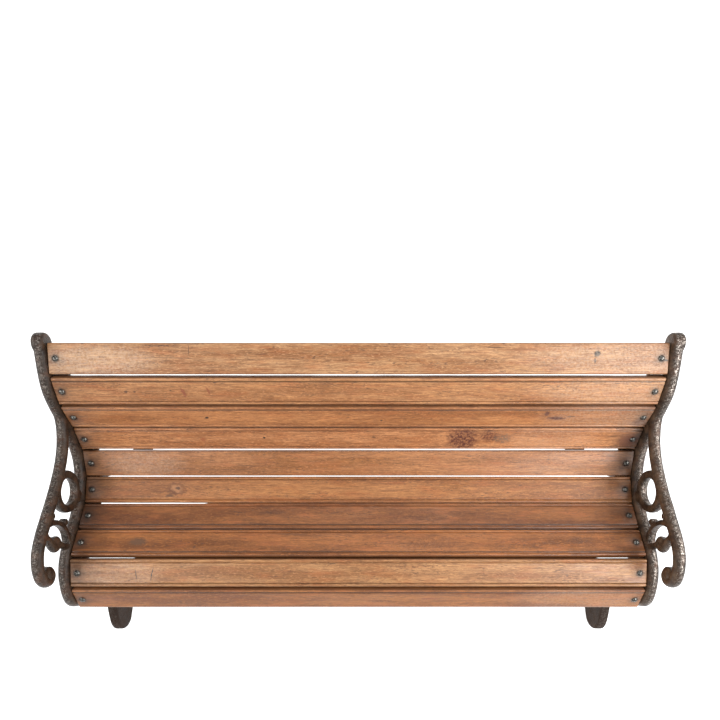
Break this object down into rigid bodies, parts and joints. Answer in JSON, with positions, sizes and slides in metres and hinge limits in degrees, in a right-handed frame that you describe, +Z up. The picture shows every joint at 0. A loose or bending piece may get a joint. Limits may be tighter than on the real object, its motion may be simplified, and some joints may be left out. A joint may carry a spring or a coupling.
{
  "type": "garden bench",
  "caption": "Garden bench with a serpentine seat and back of long timber slats bolted to scrolled cast iron end frames with arms, rings and splayed feet.",
  "frame": {"origin": "on the ground under the middle of the bench's bounding box", "axes": "+X along the bench to the sitter's left, which is the right end seen from the front; +Y from the front to the back; +Z up"},
  "size_m": [1.584, 0.6897, 0.732],
  "materials": {
    "cast_iron": "weathered dark brown-black casting with worn crowns",
    "timber": "weathered oiled timber",
    "fastener_steel": "dulled zinc-plated steel"
  },
  "bodies": {
    "root": {"right_end_frame": "cast_iron", "left_end_frame": "cast_iron", "slat_01": "timber", "bolt_01_left": "fastener_steel", "nut_01_left": "fastener_steel", "bolt_01_right": "fastener_steel", "nut_01_right": "fastener_steel", "slat_02": "timber", "bolt_02_left": "fastener_steel", "nut_02_left": "fastener_steel", "bolt_02_right": "fastener_steel", "nut_02_right": "fastener_steel", "slat_03": "timber", "bolt_03_left": "fastener_steel", "nut_03_left": "fastener_steel", "bolt_03_right": "fastener_steel", "nut_03_right": "fastener_steel", "slat_04": "timber", "bolt_04_left": "fastener_steel", "nut_04_left": "fastener_steel", "bolt_04_right": "fastener_steel", "nut_04_right": "fastener_steel", "slat_05": "timber", "bolt_05_left": "fastener_steel", "nut_05_left": "fastener_steel", "bolt_05_right": "fastener_steel", "nut_05_right": "fastener_steel", "slat_06": "timber", "bolt_06_left": "fastener_steel", "nut_06_left": "fastener_steel", "bolt_06_right": "fastener_steel", "nut_06_right": "fastener_steel", "slat_07": "timber", "bolt_07_left": "fastener_steel", "nut_07_left": "fastener_steel", "bolt_07_right": "fastener_steel", "nut_07_right": "fastener_steel", "slat_08": "timber", "bolt_08_left": "fastener_steel", "nut_08_left": "fastener_steel", "bolt_08_right": "fastener_steel", "nut_08_right": "fastener_steel", "slat_09": "timber", "bolt_09_left": "fastener_steel", "nut_09_left": "fastener_steel", "bolt_09_right": "fastener_steel", "nut_09_right": "fastener_steel", "slat_10": "timber", "bolt_10_left": "fastener_steel", "nut_10_left": "fastener_steel", "bolt_10_right": "fastener_steel", "nut_10_right": "fastener_steel"}
  },
  "joints": []
}
